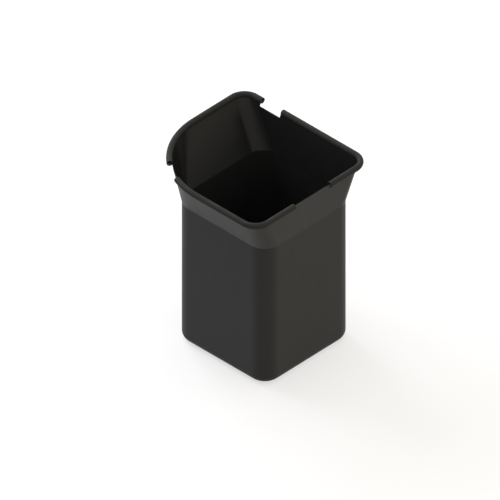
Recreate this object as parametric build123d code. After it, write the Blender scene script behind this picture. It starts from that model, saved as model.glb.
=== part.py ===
from build123d import *
from math import asin, cos, degrees, radians, sin
import os

os.makedirs("parts", exist_ok=True)

# The waste bin of a compactor: a deep square tub, a flared collar that stands on
# the tub's top edge, and three lengths of split round tube pushed over the
# collar's edge. Millimetres, +Z up, origin at the centre of the underside.
# +X is the front, -X the rear with the wide hopper side, +Y and -Y the sides.

# Tub
body_width = 300.0
body_corner_radius = 45.5
base_edge_radius = 22.5
floor_thickness = 5.0
tub_wall = 4.4
crease_height = 401.0
tongue_height = 3.0
tongue_wall = 1.6
tongue_gap = 0.2

# Collar: an upright root in line with the tub's inside, then walls that thin towards
# the rim and lean out of the tub there by the distances below
root_height = 5.0
collar_wall = 1.8
rim_height = 494.4
front_lean = 2.6
side_lean = 34.6
rear_lean = 92.8
rim_corner_radius = 35.0
rear_left_radius = 204.0

# Edging tube, hooked over the rim, with its inner side proud of the collar's inner face
edging_radius = 7.6
edging_wall = 1.6
edging_overhang = 1.2
slot_clearance = 0.15

# Gaps in the rim
front_notch_width = 121.0
front_notch_depth = 4.2
side_notch_width = 66.0
side_notch_depth = 11.2
right_notch_x = -153.5
left_notch_angle = 239.2

# Sizes that follow
body_half = body_width / 2
edging_bore = edging_radius - edging_wall
edging_offset = edging_radius - collar_wall - edging_overhang
cutter_top = rim_height + 2 * edging_radius
cutter_depth = 12 * edging_radius


def ring_circles(grow, lean):
    """Corner circles of a level outline, as (x, y, radius, first angle), from the front right one on.

    grow moves every side out. lean is 1 for the outline at the rim and 0 for that at the crease.
    """
    front = body_half + lean * front_lean
    side = body_half + lean * side_lean
    rear = body_half + lean * rear_lean
    plain = rim_corner_radius if lean else body_corner_radius
    broad = rear_left_radius if lean else body_corner_radius
    return [
        (front - plain, side - plain, plain + grow, 0),
        (plain - rear, side - plain, plain + grow, 90),
        (broad - rear, broad - side, broad + grow, 180),
        (front - plain, plain - side, plain + grow, 270),
    ]


def on_circle(circle, angle, z):
    """Point of a corner circle at an angle in degrees."""
    x, y, radius, _ = circle
    return Vector(x + radius * cos(radians(angle)), y + radius * sin(radians(angle)), z)


def corner_arc(circle, first, last, z):
    """Arc of a corner circle between two angles in degrees."""
    middle = (first + last) / 2
    return ThreePointArc(
        on_circle(circle, first, z), on_circle(circle, middle, z), on_circle(circle, last, z)
    )


def outline_face(grow, lean, z):
    """Closed level outline of four corner arcs and the straight runs between them."""
    circles = ring_circles(grow, lean)
    edges = []
    for circle, following in zip(circles, circles[1:] + circles[:1]):
        first = circle[3]
        edges.append(corner_arc(circle, first, first + 90, z))
        edges.append(Line(on_circle(circle, first + 90, z), on_circle(following, first + 90, z)))
    return Face(Wire(edges))


def leaning_solid(low_grow, low_z, high_grow):
    """Ruled solid from the tub's plan at a level to the rim's plan, each moved out by its grow."""
    low = outline_face(low_grow, 0, low_z)
    high = outline_face(high_grow, 1, rim_height)
    return loft([low, high], ruled=True)


def collar_outside(clearance):
    """Solid inside the collar's outer face, moved out by a clearance."""
    return leaning_solid(clearance, crease_height, clearance)


def collar_inside(clearance):
    """Space inside the collar above its upright root, moved in by a clearance."""
    root_top = crease_height + root_height
    return leaning_solid(-tub_wall - clearance, root_top, -collar_wall - clearance)


def level_block(inset, low, high):
    """Upright block with the tub's rounded plan, moved in by inset."""
    plan = RectangleRounded(
        body_width - 2 * inset, body_width - 2 * inset, body_corner_radius - inset
    )
    return Pos(0, 0, low) * extrude(plan, high - low)


def lowest_edges(block):
    """Edges round the underside of a block."""
    return block.edges().group_by(Axis.Z)[0]


def tongue_ring(clearance):
    """Ring in the middle of the tub's wall that finds the collar, grown by a clearance."""
    outer_inset = (tub_wall - tongue_wall) / 2 - clearance
    inner_inset = (tub_wall + tongue_wall) / 2 + clearance
    top = crease_height + tongue_height + clearance
    outer = level_block(outer_inset, crease_height - tub_wall, top)
    return outer - level_block(inner_inset, crease_height - tub_wall, top)


def make_tub():
    """Square tub with round base edges, and the tongue on its top edge."""
    outer = level_block(0, 0, crease_height)
    outer = fillet(lowest_edges(outer), base_edge_radius)
    inner = level_block(tub_wall, floor_thickness, crease_height)
    inner = fillet(lowest_edges(inner), base_edge_radius - tub_wall)
    return outer - inner + tongue_ring(0)


def notch_cutters():
    """Blocks that open the rim: one in front, one on the right, one across the round rear left corner."""
    front_height = cutter_top - rim_height + front_notch_depth
    front_seat = Vector(body_half + front_lean, 0, cutter_top - front_height / 2)
    front = Pos(front_seat) * Box(cutter_depth, front_notch_width, front_height)
    side_height = cutter_top - rim_height + side_notch_depth
    side_middle = cutter_top - side_height / 2
    right_seat = Vector(right_notch_x, body_half + side_lean, side_middle)
    right = Pos(right_seat) * Box(side_notch_width, cutter_depth, side_height)
    left_seat = on_circle(ring_circles(edging_offset, 1)[2], left_notch_angle, side_middle)
    left_block = Box(cutter_depth, side_notch_width, side_height)
    left = Pos(left_seat) * Rot(0, 0, left_notch_angle) * left_block
    return [front, right, left]


def make_collar():
    """Ruled collar from the tub's plan to the wide rim, grooved for the tongue and notched."""
    root_space = level_block(tub_wall, crease_height, crease_height + root_height)
    collar = collar_outside(0) - collar_inside(0) - root_space - tongue_ring(tongue_gap)
    for cutter in notch_cutters():
        collar = collar - cutter
    return collar


def edging_length(path_edges):
    """Hollow tube along a path, with the slot that the collar's edge goes into."""
    path = Wire(path_edges)
    start = Plane(origin=path @ 0, z_dir=path % 0)
    section = start * (Circle(edging_radius) - Circle(edging_bore))
    slot = collar_outside(slot_clearance) - collar_inside(slot_clearance)
    slot = slot + Pos(0, 0, slot_clearance) * slot
    return sweep(section, path=path) - slot


def make_edgings():
    """Three lengths of edging, each from one gap in the rim to the next."""
    z = rim_height
    front_right, rear_right, rear_left, front_left = ring_circles(edging_offset, 1)
    half_turn = degrees(asin(side_notch_width / 2 / rear_left[2]))
    front_x = on_circle(front_right, 0, z).X
    right_y = on_circle(front_right, 90, z).Y
    gap_y = front_notch_width / 2
    right_end = Vector(right_notch_x + side_notch_width / 2, right_y, z)
    rear_start = Vector(right_notch_x - side_notch_width / 2, right_y, z)
    right = [
        Line(Vector(front_x, gap_y, z), on_circle(front_right, 0, z)),
        corner_arc(front_right, 0, 90, z),
        Line(on_circle(front_right, 90, z), right_end),
    ]
    rear = [
        Line(rear_start, on_circle(rear_right, 90, z)),
        corner_arc(rear_right, 90, 180, z),
        Line(on_circle(rear_right, 180, z), on_circle(rear_left, 180, z)),
        corner_arc(rear_left, 180, left_notch_angle - half_turn, z),
    ]
    left = [
        corner_arc(rear_left, left_notch_angle + half_turn, 270, z),
        Line(on_circle(rear_left, 270, z), on_circle(front_left, 270, z)),
        corner_arc(front_left, 270, 360, z),
        Line(on_circle(front_left, 360, z), Vector(front_x, -gap_y, z)),
    ]
    return {
        "rim_edging_right": edging_length(right),
        "rim_edging_rear": edging_length(rear),
        "rim_edging_left": edging_length(left),
    }


nodes = {"bin_tub": make_tub(), "flared_collar": make_collar()}
nodes.update(make_edgings())
for name, shape in nodes.items():
    export_step(shape, f"parts/{name}.step")
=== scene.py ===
import math
import bpy
import numpy as np
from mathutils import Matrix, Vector


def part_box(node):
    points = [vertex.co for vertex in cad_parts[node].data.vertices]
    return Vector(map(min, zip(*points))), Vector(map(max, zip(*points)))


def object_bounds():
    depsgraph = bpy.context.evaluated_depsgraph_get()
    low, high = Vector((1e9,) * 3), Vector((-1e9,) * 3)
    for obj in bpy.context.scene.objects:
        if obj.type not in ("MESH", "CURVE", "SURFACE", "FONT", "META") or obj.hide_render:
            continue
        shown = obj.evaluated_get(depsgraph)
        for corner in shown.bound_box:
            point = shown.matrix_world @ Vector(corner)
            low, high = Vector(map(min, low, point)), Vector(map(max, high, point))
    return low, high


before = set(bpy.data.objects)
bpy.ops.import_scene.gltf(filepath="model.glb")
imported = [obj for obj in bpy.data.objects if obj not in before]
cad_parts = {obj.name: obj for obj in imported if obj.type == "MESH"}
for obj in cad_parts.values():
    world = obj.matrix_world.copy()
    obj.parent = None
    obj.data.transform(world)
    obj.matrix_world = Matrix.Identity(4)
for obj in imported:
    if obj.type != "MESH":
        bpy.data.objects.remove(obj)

cad_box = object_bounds()


# The tub: a deep square bin body with rounded corners and a rounded base edge.
# Charcoal polypropylene, injection moulded in one shot: the cavity side was blasted,
# so the outside has a fine satin grain, and the polished core left the inside smoother.
TUB_OUTSIDE = "#3c3c3c"
# The inside is painted darker than the outside, as painted shade inside the bin.
TUB_INSIDE_SHADED = "#292a2c"
PLASTIC_IOR = 1.49

# Flow clouds are about 30 mm across and three times as tall, and a few percent lighter,
# darker, duller or glossier than the rest.
CLOUD_WIDTH, CLOUD_SQUEEZE = 0.030, 0.33
CLOUD_THIN, CLOUD_THICK = 0.3, 0.7
CLOUD_SHADE, CLOUD_GLOSS = 0.06, 0.03

# The blasted grain is 0.3 mm in fact; 1.4 mm is the finest that shows at this size.
GRAIN_WIDTH, GRAIN_DEPTH = 0.0014, 0.0002
GRAIN_OUTSIDE, GRAIN_INSIDE = 0.10, 0.015

# An arm points from the bin's axis to a place on the surface, and a little down.
ARM_REACH = (1.0, 1.0, 0.0)
ARM_DROP = (0.0, 0.0, -0.05)


def linear(shade):
    """An sRGB hex shade as a linear colour with alpha 1."""
    value = np.array([int(shade[i:i + 2], 16) for i in (1, 3, 5)]) / 255
    return (*np.where(value <= 0.04045, value / 12.92, ((value + 0.055) / 1.055) ** 2.4), 1.0)


def add(tree, kind, settings=None, **sockets):
    """Add a node with its settings and return its outputs.

    A socket is named by its label, with _ for a space, or by its place, as i0, i1 and so on.
    It takes a plain value, or another node's output, which is linked to it.
    """
    node = tree.nodes.new("ShaderNode" + kind)
    for name, value in (settings or {}).items():
        setattr(node, name, value)
    for name, value in sockets.items():
        place = name[1:]
        socket = node.inputs[int(place) if place.isdigit() else name.replace("_", " ")]
        if isinstance(value, bpy.types.NodeSocket):
            tree.links.new(value, socket)
        else:
            socket.default_value = value
    return node.outputs


def charcoal_plastic(name, outer_shade, inner_shade, specular, satin, polished):
    """Charcoal plastic, satin outside and polished inside.

    Gives the eye an even dark sheen with faint upright clouds where the melt ran, and a
    soft sparkle from the grain. Returns the material, the place on the surface, the way
    that the surface faces, and the mask of the bin's inner faces.
    """
    material = bpy.data.materials.new(name)
    material.use_nodes = True
    tree = material.node_tree
    shader = tree.nodes["Principled BSDF"]
    shader.inputs["IOR"].default_value = PLASTIC_IOR
    shader.inputs["Specular IOR Level"].default_value = specular
    place = add(tree, "TexCoord")["Object"]
    facing = add(tree, "NewGeometry")["True Normal"]

    # An inner face looks at the bin's axis or up, and so against the arm.
    arm = add(
        tree, "VectorMath", {"operation": "MULTIPLY_ADD"},
        i0=place, i1=ARM_REACH, i2=ARM_DROP)["Vector"]
    outward = add(tree, "VectorMath", {"operation": "DOT_PRODUCT"}, i0=arm, i1=facing)["Value"]
    inside = add(tree, "Math", {"operation": "LESS_THAN"}, i0=outward, i1=0.0)["Value"]

    # Each cloud runs from -1 where the melt is thin to 1 where it is thick.
    upright = add(tree, "Mapping", Vector=place, Scale=(1.0, 1.0, CLOUD_SQUEEZE))["Vector"]
    noise = add(
        tree, "TexNoise", Vector=upright, Scale=1 / CLOUD_WIDTH, Detail=3.0, Roughness=0.55)["Fac"]
    cloud = add(
        tree, "MapRange", Value=noise, From_Min=CLOUD_THIN, From_Max=CLOUD_THICK,
        To_Min=-1.0, To_Max=1.0)["Result"]
    flow = add(
        tree, "Math", {"operation": "MULTIPLY_ADD"}, i0=cloud, i1=CLOUD_SHADE, i2=1.0)["Value"]
    plain = add(
        tree, "Mix", {"data_type": "RGBA"},
        i0=inside, i6=linear(outer_shade), i7=linear(inner_shade))[2]
    clouded = add(tree, "VectorMath", {"operation": "SCALE"}, i0=plain, Scale=flow)["Vector"]
    tree.links.new(clouded, shader.inputs["Base Color"])

    sheen = add(tree, "MapRange", Value=inside, To_Min=satin, To_Max=polished)["Result"]
    rough = add(
        tree, "Math", {"operation": "MULTIPLY_ADD"}, i0=cloud, i1=CLOUD_GLOSS, i2=sheen)["Value"]
    tree.links.new(rough, shader.inputs["Roughness"])

    grain = add(tree, "TexNoise", Vector=place, Scale=1 / GRAIN_WIDTH, Detail=1.0)["Fac"]
    depth = add(
        tree, "MapRange", Value=inside, To_Min=GRAIN_OUTSIDE, To_Max=GRAIN_INSIDE)["Result"]
    bumped = add(tree, "Bump", Strength=depth, Distance=GRAIN_DEPTH, Height=grain)["Normal"]
    tree.links.new(bumped, shader.inputs["Normal"])
    return material, place, facing, inside


def lay_over(material, shade, *masks):
    """Mix a shade into a material's colour, by the product of masks from 0 to 1.

    Returns that product.
    """
    tree = material.node_tree
    share = masks[0]
    for mask in masks[1:]:
        share = add(tree, "Math", {"operation": "MULTIPLY"}, i0=share, i1=mask)["Value"]
    base = tree.nodes["Principled BSDF"].inputs["Base Color"]
    under = base.links[0].from_socket
    mixed = add(tree, "Mix", {"data_type": "RGBA"}, i0=share, i6=under, i7=linear(shade))[2]
    tree.links.new(mixed, base)
    return share


def dress(node, material):
    """Put a material on a CAD node in place of its plain one."""
    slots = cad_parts[node].data.materials
    slots.clear()
    slots.append(material)


tub, place, facing, inside = charcoal_plastic(
    "charcoal polypropylene, tub moulding", TUB_OUTSIDE, TUB_INSIDE_SHADED,
    specular=0.085, satin=0.48, polished=0.34)
tree = tub.node_tree
outside = add(tree, "Math", {"operation": "SUBTRACT"}, i0=1.0, i1=inside)["Value"]
height = add(tree, "SeparateXYZ", i0=place)["Z"]
towards = add(tree, "SeparateXYZ", i0=facing)
endways = add(tree, "Math", {"operation": "ABSOLUTE"}, i0=towards["X"])["Value"]
sideways = add(tree, "Math", {"operation": "ABSOLUTE"}, i0=towards["Y"])["Value"]

# Scuffs: short level strokes 1.5 mm wide and 12 mm long, on the underside and just above
# the base edge. They run front to rear, and across on the front and rear faces.
SCUFF_GREY = "#4b4a47"
SCUFF_WIDTH, SCUFF_LENGTH = 0.0015, 0.012
SCUFF_TOP, SCUFF_FULL = 0.016, 0.005
STROKE_START, STROKE_FULL = 0.56, 0.70
END_FACE = 0.7
squeeze = SCUFF_WIDTH / SCUFF_LENGTH
end_face = add(tree, "Math", {"operation": "GREATER_THAN"}, i0=endways, i1=END_FACE)["Value"]
stretch = add(
    tree, "Mix", {"data_type": "VECTOR"},
    i0=end_face, i4=(squeeze, 1.0, 1.0), i5=(1.0, squeeze, 1.0))[1]
strokes = add(tree, "VectorMath", {"operation": "MULTIPLY"}, i0=place, i1=stretch)["Vector"]
noise = add(tree, "TexNoise", Vector=strokes, Scale=1 / SCUFF_WIDTH, Detail=2.0)["Fac"]
stroke = add(tree, "MapRange", Value=noise, From_Min=STROKE_START, From_Max=STROKE_FULL)["Result"]
low = add(tree, "MapRange", Value=height, From_Min=SCUFF_TOP, From_Max=SCUFF_FULL)["Result"]
lay_over(tub, SCUFF_GREY, low, outside, stroke)

# Painted light: the lower half of the outside is painted a touch paler towards the foot.
FOOT_PAINTED_LIGHT = "#424242"
FOOT_TOP, FOOT_FULL, FOOT_SHARE = 0.30, 0.02, 0.5
painted_foot_light = add(
    tree, "MapRange", Value=height,
    From_Min=FOOT_TOP, From_Max=FOOT_FULL, To_Max=FOOT_SHARE)["Result"]
lay_over(tub, FOOT_PAINTED_LIGHT, painted_foot_light, outside)

# Painted shade: the upright corners are painted a touch darker outside. A face's two
# level directions, multiplied, give 0 on a flat side and 0.5 in mid-corner.
CORNER_PAINTED_SHADE = "#373738"
CORNER_START, CORNER_FULL = 0.1, 0.45
diagonal = add(tree, "Math", {"operation": "MULTIPLY"}, i0=endways, i1=sideways)["Value"]
corner = add(
    tree, "MapRange", Value=diagonal, From_Min=CORNER_START, From_Max=CORNER_FULL)["Result"]
lay_over(tub, CORNER_PAINTED_SHADE, corner, outside)

# Painted light: the two side walls are painted a touch paler inside.
SIDE_WALLS_PAINTED_LIGHT = "#2b2b2b"
SIDE_START, SIDE_FULL = 0.5, 0.9
side = add(tree, "MapRange", Value=sideways, From_Min=SIDE_START, From_Max=SIDE_FULL)["Result"]
lay_over(tub, SIDE_WALLS_PAINTED_LIGHT, side, inside)
dress("bin_tub", tub)


# The collar: the flared upper part, with its steep hopper side at the rear.
# The same polypropylene, moulded apart and welded to the tub over a tongue. Its skin
# is a little glossier than the tub's, and its polished inside is painted nearly black,
# as painted shade inside the bin.
COLLAR_OUTSIDE = "#3e3e3e"
COLLAR_INSIDE_SHADED = "#080808"
ROOT_HEIGHT = 0.005
crease, rim = (corner.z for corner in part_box("flared_collar"))
root_top = crease + ROOT_HEIGHT
collar, place, facing, inside = charcoal_plastic(
    "charcoal polypropylene, collar moulding", COLLAR_OUTSIDE, COLLAR_INSIDE_SHADED,
    specular=0.115, satin=0.47, polished=0.33)
tree = collar.node_tree
outside = add(tree, "Math", {"operation": "SUBTRACT"}, i0=1.0, i1=inside)["Value"]
spot = add(tree, "SeparateXYZ", i0=place)
towards = add(tree, "SeparateXYZ", i0=facing)

# Painted light: the upright walls are painted a little paler inside, most at their foot
# and at the rear. The hopper side is the one that looks up more than these walls do.
WALL_PAINTED_LIGHT = "#1f1f1f"
WALL_LIGHT_TOP, WALL_LIGHT_FOOT = 0.29, 0.58
FORWARD_LOSS = 0.5
WALL_CLIMB, HOPPER_CLIMB = 0.60, 0.70
hopper = add(
    tree, "MapRange", Value=towards["Z"], From_Min=WALL_CLIMB, From_Max=HOPPER_CLIMB)["Result"]
wall = add(tree, "Math", {"operation": "SUBTRACT"}, i0=1.0, i1=hopper)["Value"]
lower = add(
    tree, "MapRange", Value=spot["Z"], From_Min=rim, From_Max=root_top,
    To_Min=WALL_LIGHT_TOP, To_Max=WALL_LIGHT_FOOT)["Result"]
painted_wall_light = add(
    tree, "Math", {"operation": "MULTIPLY_ADD"}, i0=spot["X"], i1=-FORWARD_LOSS, i2=lower)["Value"]
lay_over(collar, WALL_PAINTED_LIGHT, wall, inside, painted_wall_light)

# Painted light: the hopper side is painted paler, most at the top and to the left.
PAINTED_LIGHT_SHADE = "#21201d"
PALER_TOWARDS = (0.0, -0.213, 0.977)
PALER_START, PALER_FULL = 0.4015, 0.4623
along = add(tree, "VectorMath", {"operation": "DOT_PRODUCT"}, i0=place, i1=PALER_TOWARDS)["Value"]
painted_hopper_light = add(tree, "MapRange", Value=along, From_Min=PALER_START, From_Max=PALER_FULL)["Result"]
lay_over(collar, PAINTED_LIGHT_SHADE, hopper, inside, painted_hopper_light)

# Painted light: the bend at the right end of the hopper side is painted paler too, most where it
# meets that side.
# Rear faces look forward, and more and more to the left on the way round this bend.
REAR_START, REAR_FULL = 0.02, 0.12
BEND_START, BEND_FULL, BEND_END, BEND_SHARE = -0.05, -0.20, -0.75, 0.85
rear = add(tree, "MapRange", Value=towards["X"], From_Min=REAR_START, From_Max=REAR_FULL)["Result"]
met = add(tree, "MapRange", Value=towards["Y"], From_Min=BEND_START, From_Max=BEND_FULL)["Result"]
passed = add(
    tree, "MapRange", Value=towards["Y"],
    From_Min=BEND_END, From_Max=BEND_FULL, To_Max=BEND_SHARE)["Result"]
lay_over(collar, PAINTED_LIGHT_SHADE, met, passed, rear, inside)

# Painted shade, in three places. First, in the bend at the hopper side's left end.
LEFT_START, LEFT_FULL = 0.09, 0.17
LEFT_END, LEFT_FADE, LEFT_SHARE = 0.36, 0.22, 0.9
left_edge = add(
    tree, "MapRange", Value=towards["Y"], From_Min=LEFT_START, From_Max=LEFT_FULL)["Result"]
left_fade = add(
    tree, "MapRange", Value=towards["Y"],
    From_Min=LEFT_END, From_Max=LEFT_FADE, To_Max=LEFT_SHARE)["Result"]

# Then along the hopper side's slanting right edge, below the rim and up to the bend.
FROM_EDGE = (0.0, -1.0, 0.483)
EDGE_CLEAR, EDGE_FULL = 0.124, 0.0892
EDGE_TOP, EDGE_DEEP, EDGE_SHARE = 0.480, 0.462, 0.9
FLAT_END, FLAT_FULL = -0.12, -0.04
gap = add(tree, "VectorMath", {"operation": "DOT_PRODUCT"}, i0=place, i1=FROM_EDGE)["Value"]
beside = add(tree, "MapRange", Value=gap, From_Min=EDGE_CLEAR, From_Max=EDGE_FULL)["Result"]
below = add(
    tree, "MapRange", Value=spot["Z"],
    From_Min=EDGE_TOP, From_Max=EDGE_DEEP, To_Max=EDGE_SHARE)["Result"]
flat = add(tree, "MapRange", Value=towards["Y"], From_Min=FLAT_END, From_Max=FLAT_FULL)["Result"]

# Last, where the right bend runs into the side wall.
JOIN_START, JOIN_FULL = -0.62, -0.74
JOIN_END, JOIN_FADE, JOIN_SHARE = -0.91, -0.82, 0.8
join_edge = add(
    tree, "MapRange", Value=towards["Y"], From_Min=JOIN_START, From_Max=JOIN_FULL)["Result"]
join_fade = add(
    tree, "MapRange", Value=towards["Y"],
    From_Min=JOIN_END, From_Max=JOIN_FADE, To_Max=JOIN_SHARE)["Result"]

# All three are painted nearly black as painted shade, and their gloss is dulled.
PAINTED_SHADE_BLACK, SHADE_DULLING = "#040404", 0.35
gloss = tree.nodes["Principled BSDF"].inputs["Roughness"]
for masks in ((left_edge, left_fade), (beside, below, flat), (join_edge, join_fade)):
    painted_shade = lay_over(collar, PAINTED_SHADE_BLACK, *masks, rear, inside)
    clean = gloss.links[0].from_socket
    dull = add(
        tree, "Math", {"operation": "MULTIPLY_ADD"}, i0=painted_shade, i1=SHADE_DULLING, i2=clean)["Value"]
    tree.links.new(dull, gloss)

# A painted shadow also runs inside in a thin line, just under the edging.
LINE_FOOT, LINE_TOP = 0.0036, 0.0022
line = add(
    tree, "MapRange", Value=spot["Z"], From_Min=rim - LINE_FOOT, From_Max=rim - LINE_TOP)["Result"]
lay_over(collar, PAINTED_SHADE_BLACK, line, inside)

# The upright root inside the collar carries on from the tub's wall in the tub's inside
# shade, which is painted shade, and its sides are painted a touch darker as painted shade.
ROOT_SIDES_PAINTED_SHADE = "#262626"
ROOT_OVER, ROOT_UNDER = 0.0005, 0.0015
root = add(
    tree, "MapRange", Value=spot["Z"],
    From_Min=root_top + ROOT_OVER, From_Max=root_top - ROOT_UNDER)["Result"]
sideways = add(tree, "Math", {"operation": "ABSOLUTE"}, i0=towards["Y"])["Value"]
side = add(tree, "MapRange", Value=sideways, From_Min=SIDE_START, From_Max=SIDE_FULL)["Result"]
lay_over(collar, TUB_INSIDE_SHADED, root, inside)
lay_over(collar, ROOT_SIDES_PAINTED_SHADE, side, root, inside)

# Outside, both sides are painted a touch paler, as painted light.
SIDES_PAINTED_LIGHT = "#494949"
lay_over(collar, SIDES_PAINTED_LIGHT, side, outside)
dress("flared_collar", collar)


# The edging: three lengths of split round tube, hooked over the collar's edge.
# Extruded soft vinyl, matter than the mouldings, warmed and bent round the rim's corners.
# Its bore is painted paler, as painted light inside the hollow tube.
EDGING_SHADE = "#323230"
BORE_PAINTED_LIGHT = "#6e6d69"
BORE_FULL = -0.002
edging, place, facing, _ = charcoal_plastic(
    "charcoal vinyl, extruded edging", EDGING_SHADE, EDGING_SHADE,
    specular=0.05, satin=0.50, polished=0.50)
tree = edging.node_tree

# The tube's middle is level with the rim. The height above it times the climb of the
# surface is more than 0 outside the tube, most on top, and less than 0 in the bore.
height = add(tree, "SeparateXYZ", i0=place)["Z"]
climb = add(tree, "SeparateXYZ", i0=facing)["Z"]
above = add(tree, "Math", {"operation": "SUBTRACT"}, i0=height, i1=rim)["Value"]
turned = add(tree, "Math", {"operation": "MULTIPLY"}, i0=above, i1=climb)["Value"]
bore = add(tree, "MapRange", Value=turned, From_Min=0.0, From_Max=BORE_FULL)["Result"]
lay_over(edging, BORE_PAINTED_LIGHT, bore)

# Hands and rails rub the top of the tube in patches about 25 mm long.
WORN_SHADE = "#3d3d3a"
PATCH_LENGTH = 0.025
PATCH_START, PATCH_FULL = 0.45, 0.75
TOP_START = 0.004
tube_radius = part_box("rim_edging_rear")[1].z - rim
noise = add(tree, "TexNoise", Vector=place, Scale=1 / PATCH_LENGTH, Detail=3.0)["Fac"]
patch = add(tree, "MapRange", Value=noise, From_Min=PATCH_START, From_Max=PATCH_FULL)["Result"]
top = add(tree, "MapRange", Value=turned, From_Min=TOP_START, From_Max=tube_radius)["Result"]
lay_over(edging, WORN_SHADE, patch, top)
for node in ("rim_edging_left", "rim_edging_right", "rim_edging_rear"):
    dress(node, edging)


# The floor: a plain sheet of matte paper under the bin, even and with no highlight. It
# shows white to the camera and in reflections, and takes the bin's shadow. Away from the
# bin less lamp light reaches it, so it glows more there.
WHITE = "#ffffff"
FLOOR_GREY = "#b3b3b3"
FLOOR_HALF, FLOOR_DROP = 4.0, 0.0005
NEAR, FAR = 0.8, 3.0
NEAR_GLOW, FAR_GLOW = 0.61, 0.80
scene = bpy.context.scene
corners = np.array([(-1, -1), (1, -1), (1, 1), (-1, 1)]) * FLOOR_HALF
level = np.full(4, cad_box[0].z - FLOOR_DROP)
floor_mesh = bpy.data.meshes.new("floor")
floor_mesh.from_pydata(np.column_stack([corners, level]).tolist(), [], [(0, 1, 2, 3)])
floor = bpy.data.objects.new("floor", floor_mesh)
scene.collection.objects.link(floor)
paper = bpy.data.materials.new("matte paper sheet")
paper.use_nodes = True
tree = paper.node_tree
shader = tree.nodes["Principled BSDF"]
shader.inputs["Base Color"].default_value = linear(FLOOR_GREY)
shader.inputs["Roughness"].default_value = 1.0
shader.inputs["Specular IOR Level"].default_value = 0.0
shader.inputs["Emission Color"].default_value = linear(WHITE)
ray = add(tree, "LightPath")
mirrored = add(
    tree, "Math", {"operation": "MAXIMUM"},
    i0=ray["Is Glossy Ray"], i1=ray["Is Transmission Ray"])["Value"]
seen = add(
    tree, "Math", {"operation": "MAXIMUM"}, i0=ray["Is Camera Ray"], i1=mirrored)["Value"]
place = add(tree, "TexCoord")["Object"]
away = add(tree, "VectorMath", {"operation": "LENGTH"}, i0=place)["Value"]
bright = add(
    tree, "MapRange", Value=away, From_Min=NEAR, From_Max=FAR,
    To_Min=NEAR_GLOW, To_Max=FAR_GLOW)["Result"]
glow = add(tree, "Math", {"operation": "MULTIPLY"}, i0=seen, i1=bright)["Value"]
tree.links.new(glow, shader.inputs["Emission Strength"])
floor_mesh.materials.append(paper)


# The room: even grey walls with a brighter strip of backdrop low behind the bin, all
# white to the camera and in reflections.
ROOM_LEVEL, BACKDROP_LEVEL = 0.46, 0.57
BACKDROP_SIDE = (-0.695, 0.719, 0.0)
BACKDROP_END, BACKDROP_MIDDLE = 0.3, 0.7
BACKDROP_TOP, BACKDROP_LOW = 0.5, 0.2
SEEN_LEVEL = 1.0
room = bpy.data.worlds.new("room")
scene.world = room
room.use_nodes = True
tree = room.node_tree
direction = add(tree, "TexCoord")["Generated"]
behind = add(
    tree, "VectorMath", {"operation": "DOT_PRODUCT"}, i0=direction, i1=BACKDROP_SIDE)["Value"]
climb = add(tree, "SeparateXYZ", i0=direction)["Z"]
wide = add(
    tree, "MapRange", {"interpolation_type": "SMOOTHSTEP"}, Value=behind,
    From_Min=BACKDROP_END, From_Max=BACKDROP_MIDDLE)["Result"]
low = add(
    tree, "MapRange", {"interpolation_type": "SMOOTHSTEP"}, Value=climb,
    From_Min=BACKDROP_TOP, From_Max=BACKDROP_LOW)["Result"]
strip = add(tree, "Math", {"operation": "MULTIPLY"}, i0=wide, i1=low)["Value"]
lit = add(
    tree, "Math", {"operation": "MULTIPLY_ADD"},
    i0=strip, i1=BACKDROP_LEVEL, i2=ROOM_LEVEL)["Value"]
ray = add(tree, "LightPath")
mirrored = add(
    tree, "Math", {"operation": "MAXIMUM"},
    i0=ray["Is Glossy Ray"], i1=ray["Is Transmission Ray"])["Value"]
seen = add(
    tree, "Math", {"operation": "MAXIMUM"}, i0=ray["Is Camera Ray"], i1=mirrored)["Value"]
shown = add(tree, "Mix", {"data_type": "FLOAT"}, i0=seen, i2=lit, i3=SEEN_LEVEL)[0]
background = tree.nodes["Background"]
tree.links.new(shown, background.inputs["Strength"])
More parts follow.
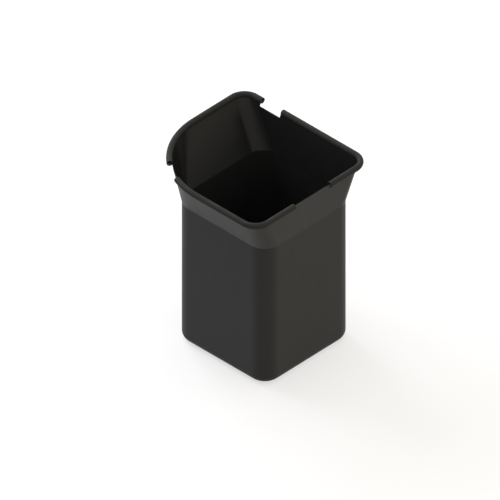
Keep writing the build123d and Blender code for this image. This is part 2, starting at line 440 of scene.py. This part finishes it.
background.inputs["Color"].default_value = linear(WHITE)


# The lamps: wide soft boxes. The main one stands behind the bin on the left, a weak one
# hangs overhead, and two weak warm ones stand at the right.
LAMP_WIDTH = 2.2
LAMP_AIM = Vector((0.0, 0.0, 0.35))
SOFT_BOXES = {
    "rear left soft box": ((-2.35, 0.0, 1.9), 61.0, "#f6f7ff"),
    "overhead soft box": ((0.0, 0.0, 3.2), 17.0, "#fbfff7"),
    "front right soft box": ((2.55, 0.0, 1.25), 14.8, "#ffe2ae"),
    "rear right soft box": ((0.0, 2.35, 1.9), 5.0, "#ffefc4"),
}
for name, (stand, watts, tint) in SOFT_BOXES.items():
    lamp = bpy.data.lights.new(name, "AREA")
    lamp.size = LAMP_WIDTH
    lamp.energy = watts
    lamp.color = linear(tint)[:3]
    soft_box = bpy.data.objects.new(name, lamp)
    soft_box.location = stand
    soft_box.rotation_euler = (LAMP_AIM - Vector(stand)).to_track_quat("-Z", "Y").to_euler()
    scene.collection.objects.link(soft_box)


# The camera: a parallel view from the front left, high enough to look into the bin. The
# middle of the view lies a little left of the bin's foot and above it.
CAMERA_TURN, CAMERA_TILT = math.radians(44.006), math.radians(36.771)
VIEW_WIDTH = 1.17925
MIDDLE_ACROSS, MIDDLE_UP = -0.0324, 0.2030
CAMERA_DISTANCE = 3.0
sight = Vector((
    math.sin(CAMERA_TURN) * math.cos(CAMERA_TILT),
    -math.cos(CAMERA_TURN) * math.cos(CAMERA_TILT),
    math.sin(CAMERA_TILT)))
across = Vector((math.cos(CAMERA_TURN), math.sin(CAMERA_TURN), 0.0))
middle = across * MIDDLE_ACROSS + sight.cross(across) * MIDDLE_UP
camera = bpy.data.objects.new("camera", bpy.data.cameras.new("camera"))
camera.data.type = "ORTHO"
camera.data.ortho_scale = VIEW_WIDTH
camera.location = middle + sight * CAMERA_DISTANCE
camera.rotation_euler = (-sight).to_track_quat("-Z", "Y").to_euler()
scene.collection.objects.link(camera)
scene.camera = camera
scene.view_settings.view_transform = "Standard"
